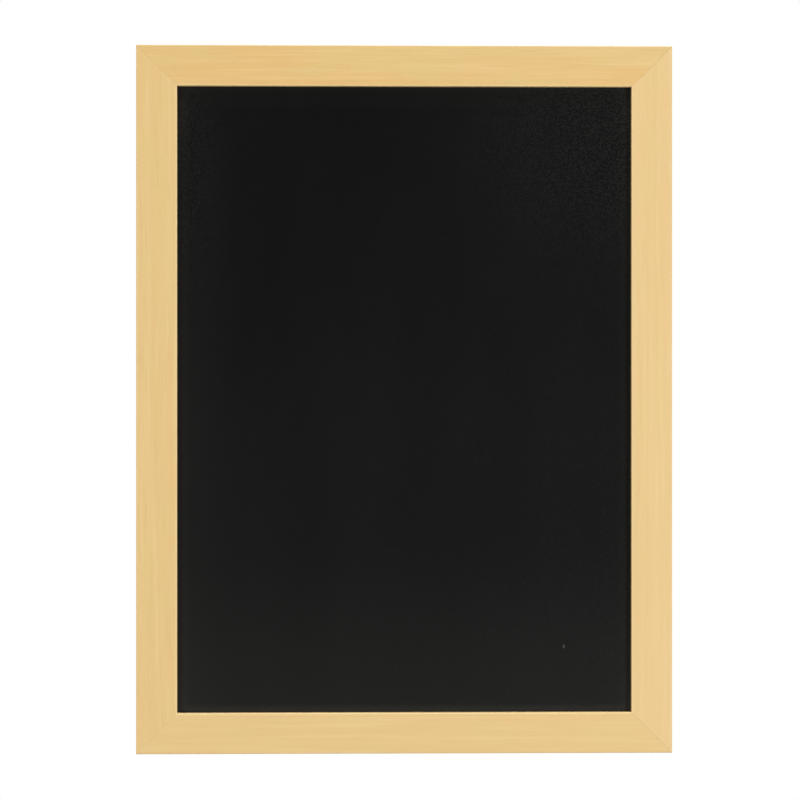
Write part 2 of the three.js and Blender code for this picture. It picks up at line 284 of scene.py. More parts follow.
LIP = 0.004
RABBET = 0.006
OUTER_ARRIS = 0.0005
SIGHT_ARRIS = 0.0006
BACK_ARRIS = 0.0005
LIP_ARRIS = 0.00015
FOIL_LAP = 0.0035
# Width of the painted highlight along the sight edge's bend
HIGHLIGHT_BAND = 0.001
CLOSED_JOINT = 0.00002
OPEN_JOINT = 0.00008
NUDGE = 1e-5

FOIL_LIGHT = (0.81, 0.595, 0.275, 1)
FOIL_MIDDLE = (0.755, 0.53, 0.228, 1)
FOIL_WARM = (0.748, 0.488, 0.19, 1)
FOIL_GREEN = (0.725, 0.528, 0.21, 1)
# A paler tone laid over the grain as a painted sheen, where a soft box would be reflected
FOIL_PAINTED_SHEEN = (0.805, 0.58, 0.295, 1)
FOIL_PORE = (0.58, 0.37, 0.15, 1)
# Painted highlight tone for the sight edge's bend
FOIL_HIGHLIGHT = (0.875, 0.65, 0.32, 1)
BOARD_DARK = (0.42, 0.28, 0.16, 1)
BOARD_LIGHT = (0.5, 0.35, 0.21, 1)
BOARD_FIBRE = (0.6, 0.45, 0.29, 1)
BOARD_SPECK = (0.22, 0.13, 0.07, 1)

back_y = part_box("top_rail")[1].y
face_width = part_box("top_rail")[1].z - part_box("top_rail")[0].z
land = face_width - RABBET
lip_back_y = face_y + LIP
opening_x = (right_edge - left_edge) / 2 - face_width
opening_z = (top_edge - bottom_edge) / 2 - face_width


def foil(name, turn, shift, painted_sheen, contrast):
    """Satin foil printed with a fine straight grain that runs along a member turned by turn.
    A painted highlight makes the foil paler along the sight edge's bend, and a painted sheen
    lightens the grain by each member's share."""
    material, shader, place = new_material(name)
    along = place.mapped(rotation=(0, turn, 0), location=shift)
    bands = along.mapped(scale=(4, 130, 130)).noise(1, detail=3, roughness=0.6)
    waves = along.mapped(scale=(14, 420, 420)).noise(1, detail=3, roughness=0.6)
    streaks = along.mapped(scale=(45, 1500, 1500)).noise(1, detail=2)
    clouds = along.mapped(scale=(22, 60, 60)).noise(1, detail=2)
    pores = along.mapped(scale=(240, 4200, 4200)).noise(1, detail=1)
    colour = bands.step(0.35, 0.65).blend(FOIL_MIDDLE, FOIL_WARM)
    colour = (clouds.step(0.45, 0.75) * 0.8).blend(colour, FOIL_GREEN)
    colour = (waves.step(0.4, 0.75) * 0.55).blend(colour, FOIL_LIGHT)
    colour = (streaks.step(0.5, 0.8) * 0.3 * contrast).blend(colour, FOIL_PORE)
    pore = pores.step(0.66, 0.74)
    colour = (pore * 0.3 * contrast).blend(colour, FOIL_PORE)
    # Painted sheen: each member's share lightens its grain, most on the right stile, nearest the
    # stronger soft box
    colour = (bands.step(0.2, 0.7) * painted_sheen).blend(colour, FOIL_PAINTED_SHEEN)
    # Painted highlight: a pale band along the front of the sight edge's bend, where light from
    # above would catch it
    beside = place.axis(0).away_from(board_middle.x)
    above = place.axis(2).away_from(board_middle.z)
    bend = beside.step(opening_x + HIGHLIGHT_BAND, opening_x)
    bend = bend * above.step(opening_z + HIGHLIGHT_BAND, opening_z)
    bend = bend * place.axis(1).step(face_y + SIGHT_ARRIS, face_y)
    colour = bend.step(0.1, 0.5).blend(colour, FOIL_HIGHLIGHT)
    relief = streaks * 0.4 - pore
    feed(
        shader,
        Base_Color=colour,
        Roughness=0.5 - waves * 0.08 + pore * 0.1,
        Normal=bumped(relief, 0.00002),
    )
    return material


def raw_board():
    """Sawn fibreboard: felted light brown fibres with darker specks."""
    material, shader, place = new_material("raw_fibreboard")
    felt = place.noise(900, detail=5, roughness=0.7)
    cloud = place.noise(60, detail=3)
    speck = place.noise(2600, detail=2)
    colour = cloud.blend(BOARD_DARK, BOARD_LIGHT)
    colour = (felt.step(0.45, 0.7) * 0.5).blend(colour, BOARD_FIBRE)
    colour = (speck.step(0.6, 0.72) * 0.6).blend(colour, BOARD_SPECK)
    feed(
        shader,
        Base_Color=colour,
        Roughness=0.85 + felt * 0.1,
        Normal=bumped(felt + speck * 0.4, 0.0001),
    )
    return material


def everything(bm):
    return [*bm.verts, *bm.edges, *bm.faces]


def only(kind, geometry):
    return [part for part in geometry if isinstance(part, kind)]


def mitre(bm, end, x, gaps):
    """Cuts the end of a moulding at 45 degrees, open by its gaps in front and shut behind."""
    outer_gap, inner_gap = gaps
    outer = Vector((end * (x - outer_gap), face_y, 0))
    inner = Vector((end * (x - face_width - inner_gap), face_y, face_width))
    behind = Vector((end * x, back_y, 0))
    away = (inner - outer).cross(behind - outer) * -end
    cut = bmesh.ops.bisect_plane(
        bm, geom=everything(bm), plane_co=outer, plane_no=away, clear_outer=True
    )
    bmesh.ops.edgenet_fill(bm, edges=only(bmesh.types.BMEdge, cut["geom_cut"]))


def lengthways(bm, y, z):
    """The edges that run along X at this place in the section."""
    line = Vector((y, z))
    return [
        edge
        for edge in bm.edges
        if all((Vector(vert.co.yz) - line).length < NUDGE for vert in edge.verts)
    ]


def round_over(bm, edges, radius, segments):
    bmesh.ops.bevel(
        bm,
        geom=edges,
        offset=radius,
        segments=segments,
        profile=0.5,
        affect="EDGES",
        material=-1,
    )


def moulding(length, low_gaps, high_gaps):
    """A mitred member along X, its outer edge at z = 0 and its back at back_y."""
    bm = bmesh.new()
    bmesh.ops.create_cube(bm, size=1)
    bmesh.ops.scale(bm, vec=(length, LIP, face_width), verts=bm.verts)
    centre = Vector((0, (face_y + lip_back_y) / 2, face_width / 2))
    bmesh.ops.translate(bm, vec=centre, verts=bm.verts)
    bmesh.ops.bisect_plane(bm, geom=everything(bm), plane_co=(0, 0, land), plane_no=(0, 0, 1))
    bm.normal_update()
    behind = [
        face
        for face in bm.faces
        if face.normal.y > 0.5 and face.calc_center_median().z < land
    ]
    grown = bmesh.ops.extrude_face_region(bm, geom=behind)["geom"]
    raised = only(bmesh.types.BMVert, grown)
    bmesh.ops.translate(bm, vec=(0, back_y - lip_back_y, 0), verts=raised)
    bmesh.ops.delete(bm, geom=behind, context="FACES_ONLY")
    for y, z, radius, segments in (
        (face_y, 0, OUTER_ARRIS, 8),
        (face_y, face_width, SIGHT_ARRIS, 6),
        (lip_back_y, face_width, LIP_ARRIS, 2),
        (back_y, 0, BACK_ARRIS, 3),
        (back_y, land, LIP_ARRIS, 2),
    ):
        round_over(bm, lengthways(bm, y, z), radius, segments)
    lap = (0, 0, FOIL_LAP)
    bmesh.ops.bisect_plane(bm, geom=everything(bm), plane_co=lap, plane_no=(0, 0, 1))
    mitre(bm, -1, length / 2, low_gaps)
    mitre(bm, 1, length / 2, high_gaps)
    bmesh.ops.recalc_face_normals(bm, faces=bm.faces)
    for face in bm.faces:
        middle = face.calc_center_median()
        on_back = middle.y > back_y - NUDGE and middle.z > FOIL_LAP
        in_rabbet = middle.y > lip_back_y - NUDGE and middle.z > land - LIP_ARRIS
        sawn = abs(face.normal.x) > 0.5
        face.material_index = int(on_back or in_rabbet or sawn)
    return bm


fibreboard = raw_board()
shut = (CLOSED_JOINT, CLOSED_JOINT)
open_inside = (CLOSED_JOINT, OPEN_JOINT)
open_outside = (OPEN_JOINT, CLOSED_JOINT)
board_width = right_edge - left_edge
board_height = top_edge - bottom_edge
bottom = Vector((board_middle.x, 0, bottom_edge))
right = Vector((right_edge, 0, board_middle.z))
top = Vector((board_middle.x, 0, top_edge))
left = Vector((left_edge, 0, board_middle.z))
members = {}
# Each member's share of painted sheen stands in for the soft boxes' reflection in its foil
for name, quarter_turns, length, side, low_gaps, high_gaps, shift, painted_sheen, contrast in (
    ("bottom_rail", 0, board_width, bottom, shut, open_inside, (3.4, 3.2, 5.3), 0.4, 0.8),
    ("right_stile", -1, board_height, right, shut, shut, (1.3, 3.8, 5.7), 0.7, 1),
    ("top_rail", 2, board_width, top, open_outside, shut, (4.8, 4.2, 1.5), 0, 1),
    ("left_stile", 1, board_height, left, shut, shut, (4.1, 0.2, 0.9), 0.25, 1),
):
    bm = moulding(length, low_gaps, high_gaps)
    turn = quarter_turns * math.pi / 2
    bmesh.ops.rotate(bm, cent=(0, 0, 0), matrix=Matrix.Rotation(turn, 3, "Y"), verts=bm.verts)
    bmesh.ops.translate(bm, vec=side, verts=bm.verts)
    wrap = foil(f"wood_grain_foil_{name}", -turn, shift, painted_sheen, contrast)
    member = new_piece(bm, f"{name}_foil_wrapped", [wrap, fibreboard])
    members[name] = member
    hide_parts(name)
    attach(member, "board")


# Writing panel
# Three millimetre hardboard, sawn to size. Its smooth face has a sprayed black lacquer that
# chalk bites on, and its back keeps the print of the screen that it was pressed on.

PANEL_ARRIS = 0.0002

# Where each painted reflection begins and ends, in metres from the lip that it is named after
LIP_REFLECTION_REACH = 0.0085
LEFT_REFLECTION_REACH = 0.04
HEAD_REFLECTION_REACH = 0.015
FOOT_REFLECTION_REACH = 0.005
LOW_REFLECTION_REACH = 0.105
CORNER_REACH_AT_HEAD = 0.05
CORNER_REACH_AT_FOOT = 0.03
HALF_DOWN_FROM = 0.09
HALF_DOWN_TO = 0.22
UPPER_LEFT_FROM = 0.2
UPPER_LEFT_TO = 0.02
UPPER_RIGHT_FROM_X = -0.03
UPPER_RIGHT_FROM_FOOT = 0.19
UPPER_RIGHT_TO_HEAD = 0.03

# How strong each painted reflection is, and the painted glints
LIP_REFLECTION = 0.33
CORNER_REFLECTION = 0.25
HEAD_REFLECTION = 0.32
FOOT_REFLECTION = 0.6
HALF_DOWN_REFLECTION = 0.1
LOW_REFLECTION = 0.33
LEFT_REFLECTION = 0.14
UPPER_RIGHT_REFLECTION = 0.17
UPPER_LEFT_GLINTS = 0.4
UPPER_RIGHT_GLINTS = 0.65

NICK_PLACE = Vector((0.0904, -0.0087, -0.26))
NICK_HALF = Vector((0.0008, 0.002, 0.0015))
NICK_SCALE = Vector(1 / size for size in NICK_HALF)
NICK_SHIFT = -Vector(at / size for at, size in zip(NICK_PLACE, NICK_HALF))

LACQUER_DARK = (0.0027, 0.0032, 0.0028, 1)
LACQUER_WIPED = (0.004, 0.0047, 0.0042, 1)
REFLECTION_GREY = (0.0205, 0.0207, 0.0187, 1)
NICK_GREY = (0.06, 0.06, 0.055, 1)
HARDBOARD_DARK = (0.12, 0.06, 0.028, 1)
HARDBOARD_LIGHT = (0.17, 0.09, 0.045, 1)
HARDBOARD_FIBRE = (0.28, 0.17, 0.09, 1)
HARDBOARD_HOLLOW = (0.07, 0.035, 0.018, 1)


def painted_reflections(place):
    """Painted reflections: a band at each lip, more of it in the corners and low on the panel,
    where the floor is mirrored, and a little over the left and upper right, as fine painted
    glints."""
    across, up = place.axis(0), place.axis(2)
    left_lip, right_lip = left_edge + face_width, right_edge - face_width
    foot, head = bottom_edge + face_width, top_edge - face_width
    at_left_lip = across.step(left_lip + LIP_REFLECTION_REACH, left_lip)
    beside = at_left_lip + across.step(right_lip - LIP_REFLECTION_REACH, right_lip)
    at_left = across.step(left_lip + LEFT_REFLECTION_REACH, left_lip)
    under = up.step(head - HEAD_REFLECTION_REACH, head)
    above = up.step(foot + FOOT_REFLECTION_REACH, foot)
    half_down = up.step(head - HALF_DOWN_FROM, head - HALF_DOWN_TO)
    low_down = up.step(foot + LOW_REFLECTION_REACH, foot)
    near_head = up.step(head - CORNER_REACH_AT_HEAD, head)
    near_foot = up.step(foot + CORNER_REACH_AT_FOOT, foot)
    in_corner = beside * (near_head + near_foot)
    upper_left = at_left * up.step(head - UPPER_LEFT_FROM, head - UPPER_LEFT_TO)
    upper_half = up.step(foot + UPPER_RIGHT_FROM_FOOT, head - UPPER_RIGHT_TO_HEAD)
    upper_right = across.step(UPPER_RIGHT_FROM_X, right_lip) * upper_half
    # Painted glints: grey specks where the stipple would sparkle in the soft boxes' light
    glints = place.noise(950, detail=1).step(0.3, 0.7) - 0.5
    glinting = upper_left * UPPER_LEFT_GLINTS + upper_right * upper_right * UPPER_RIGHT_GLINTS
    # Painted reflections of the lips, the floor and the soft boxes, added together
    reflected = beside * LIP_REFLECTION + in_corner * CORNER_REFLECTION + under * HEAD_REFLECTION + above * FOOT_REFLECTION
    reflected = reflected + half_down * HALF_DOWN_REFLECTION + low_down * LOW_REFLECTION
    reflected = reflected + at_left * LEFT_REFLECTION + upper_right * UPPER_RIGHT_REFLECTION
    return reflected + glints * glinting


def lacquer():
    """Low-sheen black lacquer with a fine stipple, wiped in upright strokes, one nick, and
    painted reflections.
    """
    material, shader, place = new_material("blackboard_lacquer")
    reflected = painted_reflections(place)
    peel = place.noise(380, detail=3, roughness=0.6)
    stipple = place.noise(1500, detail=2, roughness=0.6)
    wiped = place.mapped(scale=(22, 1, 7)).noise(1, detail=3)
    nick = place.mapped(scale=NICK_SCALE, location=NICK_SHIFT)
    off_nick = nick.node("ShaderNodeVectorMath", {"operation": "LENGTH"}, {0: nick}, output=1)
    colour = wiped.blend(LACQUER_DARK, LACQUER_WIPED)
    # Painted reflections: the lacquer is lightened towards grey near the lips, low down and to
    # the upper right
    colour = reflected.blend(colour, REFLECTION_GREY)
    colour = off_nick.step(1, 0.4).blend(colour, NICK_GREY)
    feed(
        shader,
        Base_Color=colour,
        Specular_IOR_Level=0.15,
        Roughness=0.3 + wiped * 0.08 + peel * 0.06,
        Normal=bumped(peel * 0.5 + stipple, 0.00013),
    )
    return material


def hardboard():
    """Dark brown pressed fibre with the woven print of the screen."""
    material, shader, place = new_material("hardboard_screen_side")
    weave = {"Vector": place, "Scale": 160, "Distortion": 0.6, "Detail": 1}
    across = place.node("ShaderNodeTexWave", {"bands_direction": "X"}, weave)
    down = place.node("ShaderNodeTexWave", {"bands_direction": "Z"}, weave)
    screen = across * down
    fibre = place.noise(700, detail=5, roughness=0.7)
    cloud = place.noise(25, detail=3)
    colour = cloud.blend(HARDBOARD_DARK, HARDBOARD_LIGHT)
    colour = (fibre.step(0.5, 0.75) * 0.5).blend(colour, HARDBOARD_FIBRE)
    colour = (screen * 0.35).blend(colour, HARDBOARD_HOLLOW)
    feed(
        shader,
        Base_Color=colour,
        Roughness=0.7 + fibre * 0.2,
        Normal=bumped(fibre * 0.5 - screen, 0.00015),
    )
    return material


low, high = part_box("writing_panel")
bm = bmesh.new()
bmesh.ops.create_cube(bm, size=1)
bmesh.ops.scale(bm, vec=high - low, verts=bm.verts)
bmesh.ops.translate(bm, vec=(low + high) / 2, verts=bm.verts)
round_over(bm, bm.edges[:], PANEL_ARRIS, segments=2)
bm.normal_update()
for face in bm.faces:
    face.material_index = int(face.normal.y > -0.9)
panel = new_piece(bm, "writing_panel_lacquered", [lacquer(), hardboard()])
panel.modifiers.new("even_shading", "WEIGHTED_NORMAL").keep_sharp = True
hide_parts("writing_panel")
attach(panel, "board")


# V-nails
# Two at each corner, folded from zinc-plated strip with a curled end on each leg. They are
# pressed in from behind across the mitre and draw it shut, and they end just below the back.

NAIL_FROM_CORNER = (0.00988, 0.01788)
NAIL_LEG = 0.0041
NAIL_CURL = 0.0009
NAIL_HALF_ANGLE = math.radians(42)
NAIL_STRIP = 0.0005
NAIL_BEND = 0.00035
NAIL_EDGE = 0.00005
NAIL_PLAY = 0.00012
STAMPED_CORNER = math.radians(50)

ZINC_DARK = (0.5, 0.52, 0.54, 1)
ZINC_LIGHT = (0.66, 0.67, 0.68, 1)
ZINC_YELLOWED = (0.6, 0.58, 0.5, 1)
ZINC_RUBBED = (0.74, 0.75, 0.76, 1)


def zinc():
    """Zinc plate on stamped steel: cool grey, softly mottled, with fine rubbed lines."""
    material, shader, place = new_material("zinc_plated_steel")
    cloud = place.noise(260, detail=3)
    grain = place.noise(4200, detail=2)
    rubbed = place.mapped(rotation=(0.2, 0.9, 0), scale=(500, 9000, 9000)).noise(1, detail=2)
    tint = place.noise(90, detail=2).step(0.4, 0.7)
    colour = cloud.blend(ZINC_DARK, ZINC_LIGHT)
    colour = (tint * 0.35).blend(colour, ZINC_YELLOWED)
    scratch = rubbed.step(0.62, 0.72)
    feed(
        shader,
        Base_Color=(scratch * 0.3).blend(colour, ZINC_RUBBED),
        Metallic=1.0,
        Roughness=0.27 + cloud * 0.16 + grain * 0.08,
        Normal=bumped(grain * 0.6 - scratch * 0.5, 0.00001),
    )
    return material


def nail_strip(y_low, y_high):
    """A V of no thickness that stands along Y, its apex at the origin and its legs towards -Z."""
    bend = Vector((math.sin(NAIL_HALF_ANGLE), -math.cos(NAIL_HALF_ANGLE))) * NAIL_LEG
    tip = bend + Vector((NAIL_CURL, 0))
    points = [(-tip.x, tip.y), (-bend.x, bend.y), (0, 0), (bend.x, bend.y), (tip.x, tip.y)]
    bm = bmesh.new()
    line = [bm.verts.new((x, y_low, z)) for x, z in points]
    edges = [bm.edges.new(pair) for pair in zip(line, line[1:])]
    grown = bmesh.ops.extrude_edge_only(bm, edges=edges)["geom"]
    raised = only(bmesh.types.BMVert, grown)
    bmesh.ops.translate(bm, vec=(0, y_high - y_low, 0), verts=raised)
    bends = [edge for edge in bm.edges if len(edge.link_faces) == 2]
    round_over(bm, bends, NAIL_BEND, segments=4)
    return bm


def thickened(piece, thickness, edge=0):
    """Gives a sheet its thickness, half to each side, and breaks its edges."""
    wall = piece.modifiers.new("sheet_thickness", "SOLIDIFY")
    wall.thickness = thickness
    wall.offset = 0
    wall.use_even_offset = True
    if edge:
        rim = piece.modifiers.new("broken_edges", "BEVEL")
        rim.width = edge
        rim.segments = 2
        rim.limit_method = "ANGLE"
        rim.angle_limit = STAMPED_CORNER


def combine(piece, other, operation):
    """Cuts the closed solids of another object out of a piece, or joins them to it."""
    boolean = piece.modifiers.new("combined", "BOOLEAN")
    boolean.operation = operation
    boolean.solver = "EXACT"
    boolean.use_self = True
    boolean.material_mode = "TRANSFER"
    boolean.object = other
    result = piece.evaluated_get(bpy.context.evaluated_depsgraph_get())
    combined = bpy.data.meshes.new_from_object(result)
    combined.name = piece.data.name
    combined.set_sharp_from_angle(angle=SHARP_ANGLE)
    piece.modifiers.remove(boolean)
    piece.data = combined


plated_steel = zinc()
nail_low, nail_high = (corner.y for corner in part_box("v_nail_top_left_1"))
slots = bmesh.new()
for upright, corner_z, inwards_z in (("bottom", bottom_edge, 1), ("top", top_edge, -1)):
    for across, corner_x, inwards_x in (("left", left_edge, 1), ("right", right_edge, -1)):
        corner = Vector((corner_x, 0, corner_z))
        inwards = Vector((inwards_x, 0, inwards_z)).normalized()
        swing = Matrix.Rotation(math.atan2(inwards_x, inwards_z), 4, "Y")
        for number, distance in enumerate(NAIL_FROM_CORNER, 1):
            put = Matrix.Translation(corner + inwards * distance) @ swing
            bm = nail_strip(nail_low, nail_high)
            bm.transform(put)
            name = f"v_nail_{upright}_{across}_{number}"
            nail = new_piece(bm, f"{name}_folded", [plated_steel])
            thickened(nail, NAIL_STRIP, NAIL_EDGE)
            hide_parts(name)
            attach(nail, "board")
            bm = nail_strip(nail_low - NAIL_PLAY, back_y + BACK_ARRIS)
            bm.transform(put)
            slot_mesh = bpy.data.meshes.new("slot")
            bm.to_mesh(slot_mesh)
            bm.free()
            slots.from_mesh(slot_mesh)
            bpy.data.meshes.remove(slot_mesh)
slot_cutters = new_piece(slots, "nail_slots", [fibreboard])
thickened(slot_cutters, NAIL_STRIP + NAIL_PLAY)
for member in members.values():
    combine(member, slot_cutters, "DIFFERENCE")
    member.modifiers.new("even_shading", "WEIGHTED_NORMAL").keep_sharp = True
bpy.data.objects.remove(slot_cutters)


# Panel points
# Ten flat points of zinc-plated spring steel, driven into the rabbet wall. Each was then bent
# down by hand until its rounded head pressed on the panel's back. The hole takes a setting tool.

POINT_IN_WOOD = 0.006
POINT_TIP = 0.0025
POINT_HOLE = 0.0008
POINT_EDGE = 0.00008
POINT_BEND_AT = 0.0012
POINT_BEND_ANGLE = math.radians(2.6)
POINT_BEND_STEPS = 4


def round_hole(bm, centre, radius, segments):
    """The edge of a hole through a sheet that lies in the XZ plane."""
    matrix = Matrix.Translation(centre) @ Matrix.Rotation(math.pi / 2, 4, "X")
    bmesh.ops.create_circle(bm, radius=radius, segments=segments, matrix=matrix)


def open_ends(bm):
    """The two ends of an outline that isn't closed yet, the left one first."""
    ends = [vert for vert in bm.verts if len(vert.link_edges) == 1]
    return sorted(ends, key=lambda vert: vert.co.x)


def panel_point(length, width):
    """Lies along Z with its rabbet end at the origin and its head towards +Z."""
    bm = bmesh.new()
    half = width / 2
    head = Vector((0, 0, length - POINT_IN_WOOD - half))
    round_hole(bm, head, POINT_HOLE, segments=20)
    shoulder = bm.verts.new(head + Vector((half, 0, 0)))
    bmesh.ops.spin(bm, geom=[shoulder], cent=head, axis=(0, -1, 0), angle=math.pi, steps=20)
    left, right = open_ends(bm)
    neck = POINT_TIP - POINT_IN_WOOD
    tail = ((-half, 0, neck), (0, 0, -POINT_IN_WOOD), (half, 0, neck))
    outline = [left, *(bm.verts.new(place) for place in tail), right]
    for pair in zip(outline, outline[1:]):
        bm.edges.new(pair)
    bmesh.ops.triangle_fill(bm, use_beauty=True, use_dissolve=True, edges=bm.edges[:])
    bend = Matrix.Rotation(POINT_BEND_ANGLE / POINT_BEND_STEPS, 3, "X")
    for step in range(POINT_BEND_STEPS):
        line = Vector((0, 0, POINT_BEND_AT * (0.5 + step / POINT_BEND_STEPS)))
        bmesh.ops.bisect_plane(bm, geom=everything(bm), plane_co=line, plane_no=(0, 0, 1))
        beyond = [vert for vert in bm.verts if vert.co.z > line.z + NUDGE]
        bmesh.ops.rotate(bm, cent=line, matrix=bend, verts=beyond)
    return bm


for side, count, quarter_turns, wall_x, wall_z in (
    ("bottom", 2, 0, None, bottom_edge + land),
    ("top", 2, 2, None, top_edge - land),
    ("left", 3, 1, left_edge + land, None),
    ("right", 3, -1, right_edge - land, None),
):
    for number in range(1, count + 1):
        name = f"panel_point_{side}_{number}"
        low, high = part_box(name)
        thickness, width, length = sorted(high - low)
        spot = (low + high) / 2
        if wall_x is None:
            spot.z = wall_z
        else:
            spot.x = wall_x
        bm = panel_point(length, width)
        turn = Matrix.Rotation(quarter_turns * math.pi / 2, 4, "Y")
        bm.transform(Matrix.Translation(spot) @ turn)
        point = new_piece(bm, f"{name}_stamped", [plated_steel])
        thickened(point, thickness, POINT_EDGE)
        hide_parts(name)
        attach(point, "board")


# Strap hangers
# Zinc-plated steel strip, folded double round the ring's bar and held flat on the stile by one
# screw through both leaves. The fold closes into an eye, and the leaves' tails are rounded.

STRAP_WIDTH = 0.009
STRAP_THICKNESS = 0.0007
EYE_RADIUS = 0.0014
EYE_MOUTH = math.radians(24.5)
EYE_STEPS = 30
STRAP_DOWN_AT = 0.004
STRAP_CREASE = 0.0002
STRAP_TAIL_BELOW_EYE = 0.0135
SCREW_BELOW_EYE = 0.012
SCREW_HOLE = 0.0018
LEAF_GAP = 0.00001
STRAP_EDGE = 0.0001

joints = frame["record"]["behaviour"]["joints"]
hinge_of = {joint["name"]: Vector(joint["pos_m"]) for joint in joints}


def leaf(bm, eye, level):
    """One flat leaf of the strap below its bend, with its screw hole and rounded tail."""
    half = STRAP_WIDTH / 2
    drop = Vector((eye.x, level, eye.z))
    tail = drop - Vector((0, 0, STRAP_TAIL_BELOW_EYE))
    round_hole(bm, drop - Vector((0, 0, SCREW_BELOW_EYE)), SCREW_HOLE, segments=32)
    start = bm.verts.new(tail + Vector((half, 0, 0)))
    bmesh.ops.spin(bm, geom=[start], cent=tail, axis=(0, 1, 0), angle=math.pi, steps=28)
    left, right = open_ends(bm)
    top_left = bm.verts.new(drop + Vector((-half, 0, -STRAP_DOWN_AT)))
    top_right = bm.verts.new(drop + Vector((half, 0, -STRAP_DOWN_AT)))
    for pair in ((left, top_left), (top_left, top_right), (top_right, right)):
        bm.edges.new(pair)
    edges = [edge for edge in bm.edges if not edge.link_faces]
    bmesh.ops.triangle_fill(bm, use_beauty=True, use_dissolve=True, edges=edges)


for across in ("left", "right"):
    eye = hinge_of[f"{across}_ring_swing"]
    half = STRAP_WIDTH / 2
    lower = back_y + LEAF_GAP + STRAP_THICKNESS / 2
    upper = lower + STRAP_THICKNESS + LEAF_GAP
    bm = bmesh.new()
    leaf(bm, eye, lower)
    leaf(bm, eye, upper)
    mouth = eye - Vector((0, math.sin(EYE_MOUTH), math.cos(EYE_MOUTH))) * EYE_RADIUS
    pair = [bm.verts.new(mouth + Vector((side * half, 0, 0))) for side in (-1, 1)]
    crease = bm.edges.new(pair)
    rolled = bmesh.ops.spin(
        bm,
        geom=[*pair, crease],
        cent=eye,
        axis=(1, 0, 0),
        angle=math.pi * 1.5 + EYE_MOUTH,
        steps=EYE_STEPS,
    )["geom_last"]
    closing = only(bmesh.types.BMEdge, rolled)
    for edges, level in ((closing, lower), ([crease], upper)):
        grown = bmesh.ops.extrude_edge_only(bm, edges=edges)["geom"]
        for vert in only(bmesh.types.BMVert, grown):
            vert.co.y = level
            vert.co.z = eye.z - STRAP_DOWN_AT
    bmesh.ops.remove_doubles(bm, verts=bm.verts, dist=NUDGE)
    creases = [edge for edge in lengthways(bm, mouth.y, mouth.z) if len(edge.link_faces) == 2]
    round_over(bm, creases, STRAP_CREASE, segments=3)
    strap = new_piece(bm, f"hanger_strap_{across}_folded", [plated_steel])
    thickened(strap, STRAP_THICKNESS, STRAP_EDGE)
    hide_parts(f"hanger_strap_{across}")
    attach(strap, "board")


# Hanging rings
# Drawn steel wire, nickel plated and bent to a D. Its two ends butt inside the strap's eye, so
# the bar turns there, and the bow takes the wall hook.

WIRE = 0.0009
WIRE_SIDES = 20
RING_BUTT = 0.0004
RING_BAR = 0.005
RING_BEND = 0.0016
RING_ARM = 0.003
RING_LEAN = math.radians(4.3525)

NICKEL_DARK = (0.6, 0.57, 0.51, 1)
NICKEL_LIGHT = (0.7, 0.67, 0.61, 1)
NICKEL_MARK = (0.45, 0.42, 0.37, 1)


def nickel():
    """Nickel plate on drawn wire: warm bright grey with faint draw lines and handling marks."""
    material, shader, place = new_material("nickel_plated_wire")
    cloud = place.noise(300, detail=3)
    fine = place.noise(6000, detail=2)
    marks = place.mapped(scale=(2500, 2500, 9000)).noise(1, detail=3).step(0.6, 0.7)
    colour = cloud.blend(NICKEL_DARK, NICKEL_LIGHT)
    feed(
        shader,
        Base_Color=(marks * 0.35).blend(colour, NICKEL_MARK),
        Metallic=1.0,
        Roughness=0.16 + cloud * 0.1 + marks * 0.14,
        Normal=bumped(fine * 0.5 - marks, 0.000006),
    )
    return material


def drawn_on(bm, edges, travel):
    """Carries the open end of a wire on in a straight line, and returns its new end."""
    made = bmesh.ops.extrude_edge_only(bm, edges=edges)["geom"]
    bmesh.ops.translate(bm, vec=travel, verts=only(bmesh.types.BMVert, made))
    return only(bmesh.types.BMEdge, made)


def bent_up(bm, edges, centre, steps):
    """Bends the open end of a wire through a quarter turn, and returns its new end."""
    verts = dict.fromkeys(vert for edge in edges for vert in edge.verts)
    made = bmesh.ops.spin(
        bm,
        geom=[*verts, *edges],
        cent=centre,
        axis=(0, -1, 0),
        angle=math.pi / 2,
        steps=steps,
    )["geom_last"]
    return only(bmesh.types.BMEdge, made)


nickel_wire = nickel()
lean = Matrix.Rotation(RING_LEAN, 3, "X")
for across in ("left", "right"):
    bm = bmesh.new()
    butt = Matrix.Translation((RING_BUTT / 2, 0, 0)) @ Matrix.Rotation(math.pi / 2, 4, "Y")
    bmesh.ops.create_circle(bm, radius=WIRE, segments=WIRE_SIDES, matrix=butt)
    end = drawn_on(bm, bm.edges[:], (RING_BAR - RING_BUTT / 2, 0, 0))
    end = bent_up(bm, end, (RING_BAR, 0, RING_BEND), steps=12)
    end = drawn_on(bm, end, (0, 0, RING_ARM))
    end = bent_up(bm, end, (0, 0, RING_BEND + RING_ARM), steps=24)
    bmesh.ops.mirror(bm, geom=everything(bm), axis="X", merge_dist=NUDGE)
    butts = [edge for edge in bm.edges if len(edge.link_faces) == 1]
    bmesh.ops.edgenet_fill(bm, edges=butts)
    bmesh.ops.remove_doubles(bm, verts=bm.verts, dist=NUDGE)
    bmesh.ops.rotate(bm, cent=(0, 0, 0), matrix=lean, verts=bm.verts)
    bmesh.ops.translate(bm, vec=hinge_of[f"{across}_ring_swing"], verts=bm.verts)
    ring = new_piece(bm, f"hanging_ring_{across}_wire", [nickel_wire])
    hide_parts(f"hanging_ring_{across}")
    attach(ring, f"{across}_ring")


# Hanger screws
# Zinc-plated pan-head wood screws with a cross recess, driven through both leaves into the
# stile. The thread is rolled on the core, and it ends where the gimlet point begins.

